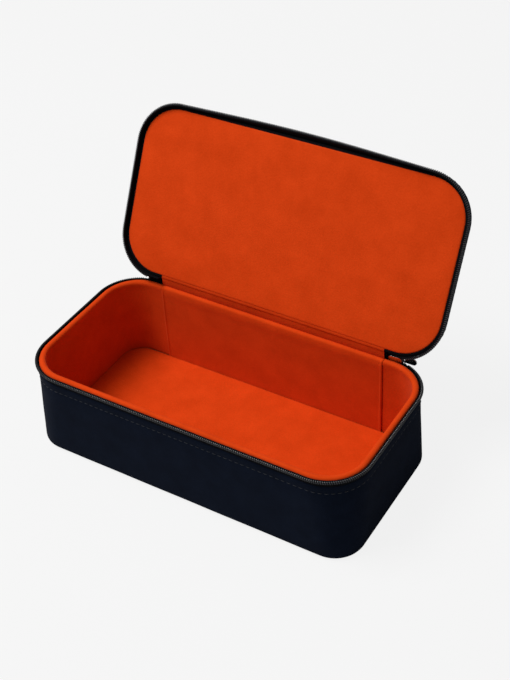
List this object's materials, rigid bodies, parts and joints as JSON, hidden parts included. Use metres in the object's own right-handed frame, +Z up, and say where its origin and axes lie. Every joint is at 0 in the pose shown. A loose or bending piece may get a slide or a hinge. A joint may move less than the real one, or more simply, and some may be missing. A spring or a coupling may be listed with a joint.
{
  "type": "jewelry organizer",
  "caption": "Rectangular zip-round jewelry case with a dark outer cover, an orange padded lining and a lid on a soft hinge, standing open.",
  "frame": {"origin": "centre of the underside of the tray, on the surface it stands on", "axes": "+X to the right along the long front wall, +Y to the rear where the soft hinge is, +Z up"},
  "size_m": [0.2422, 0.1738, 0.1799],
  "materials": {
    "cover": "matt suede-like weave",
    "board": "grey board",
    "padding": "thin foam and felt",
    "lining": "brushed microsuede",
    "tape": "woven tape",
    "coil": "nylon coil",
    "slider": "polished plating"
  },
  "bodies": {
    "tray": {"tray_wall_cover": "cover", "tray_base_cover": "cover", "tray_wall_board": "board", "tray_base_board": "board", "tray_wall_padding": "padding", "tray_floor_padding": "padding", "tray_rim_padding": "padding", "side_lining": "lining", "rear_lining": "lining", "floor_lining": "lining", "tray_zip_tape": "tape", "tray_zip_coil": "coil", "hinge_lining_strip": "lining", "hinge_cover_strip": "cover", "left_zip_end": "tape", "right_zip_end": "tape", "slider_body": "slider"},
    "lid": {"lid_side_band": "cover", "lid_top_cover": "cover", "lid_board": "board", "lid_wall_board": "board", "lid_padding": "padding", "lid_lining": "lining", "lid_zip_tape": "tape", "lid_zip_coil": "coil"},
    "zip_pull": {"slider_pull": "slider"}
  },
  "joints": [
    {"name": "lid_hinge", "type": "hinge", "parent": "tray", "child": "lid", "pos_m": [0, 0.05785, 0.0722], "axis": [1, 0, 0], "range_deg": [0, 117], "deforming": ["hinge_lining_strip", "hinge_cover_strip", "left_zip_end", "right_zip_end"]},
    {"name": "pull_swing", "type": "hinge", "parent": "tray", "child": "zip_pull", "pos_m": [0.09055, 0.0619, 0.06605], "axis": [0, 0, 1], "range_deg": [0, 100]}
  ]
}
